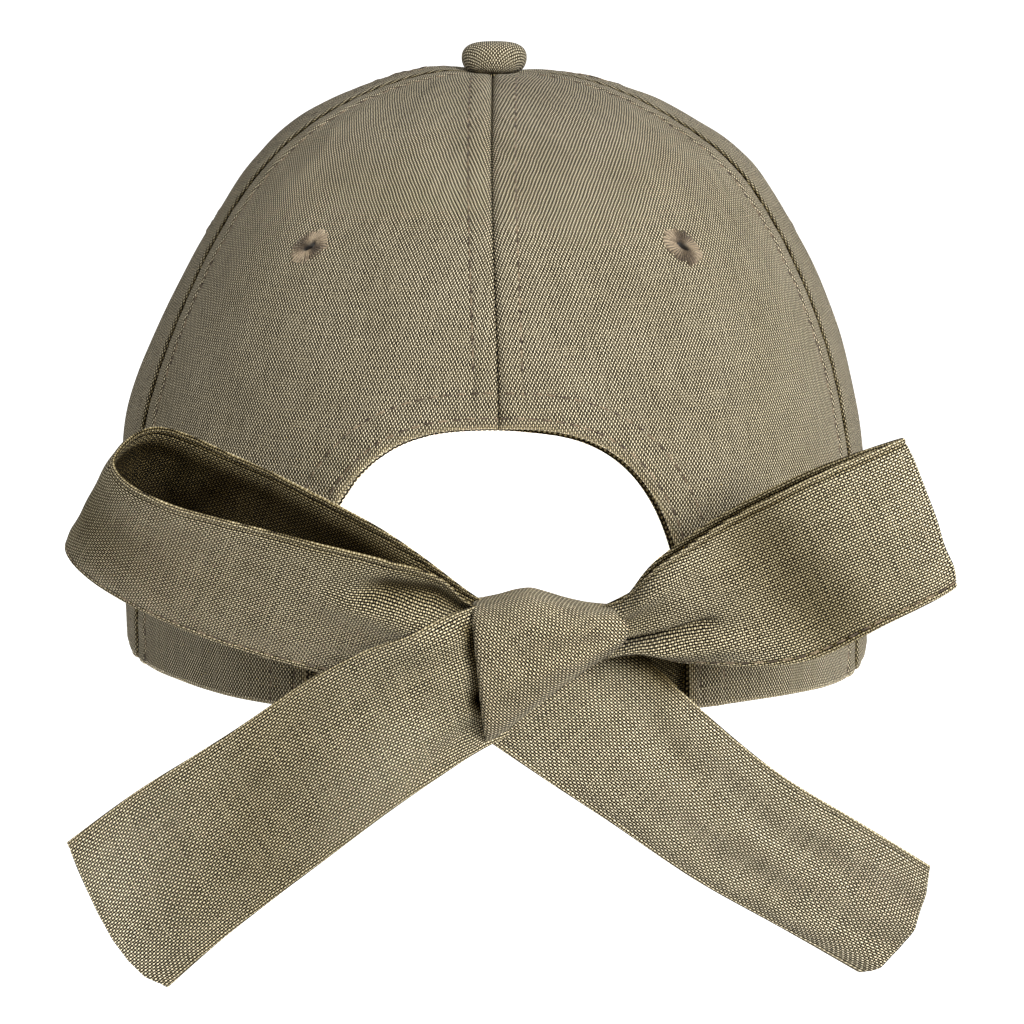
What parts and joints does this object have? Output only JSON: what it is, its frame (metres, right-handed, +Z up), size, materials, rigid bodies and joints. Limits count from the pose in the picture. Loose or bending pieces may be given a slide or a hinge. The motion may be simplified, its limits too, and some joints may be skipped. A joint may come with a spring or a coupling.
{
  "type": "linen baseball cap with a tie-back bow",
  "caption": "Six-panel woven linen cap with a stiff peak, a covered top button and an arch opening at the back that closes with a tied bow.",
  "frame": {"origin": "centre of the head opening, in the plane of the rim", "axes": "+Z up, +Y towards the peak, +X the wearer's right, which is the right side as seen from behind"},
  "size_m": [0.1704, 0.2955, 0.1771],
  "materials": {
    "crown_linen": "plain-woven linen, khaki, matt, with slubs",
    "bow_linen": "plain-woven linen, khaki, matt, sewn double",
    "eyelet_thread": "embroidery and sewing thread, pinkish beige"
  },
  "bodies": {
    "root": {"panel_back_left": "crown_linen", "panel_back_right": "crown_linen", "panel_side_left": "crown_linen", "panel_side_right": "crown_linen", "panel_front_left": "crown_linen", "panel_front_right": "crown_linen", "arch_facing": "crown_linen", "top_button": "crown_linen", "peak": "crown_linen", "eyelet_back_left": "eyelet_thread", "eyelet_back_right": "eyelet_thread", "eyelet_side_left": "eyelet_thread", "eyelet_side_right": "eyelet_thread", "eyelet_front_left": "eyelet_thread", "eyelet_front_right": "eyelet_thread", "tie_strap_left": "bow_linen", "tie_strap_right": "bow_linen", "bow_loop_left": "bow_linen", "bow_loop_right": "bow_linen", "bow_tail_left": "bow_linen", "bow_tail_right": "bow_linen", "bow_knot": "bow_linen"}
  },
  "joints": []
}
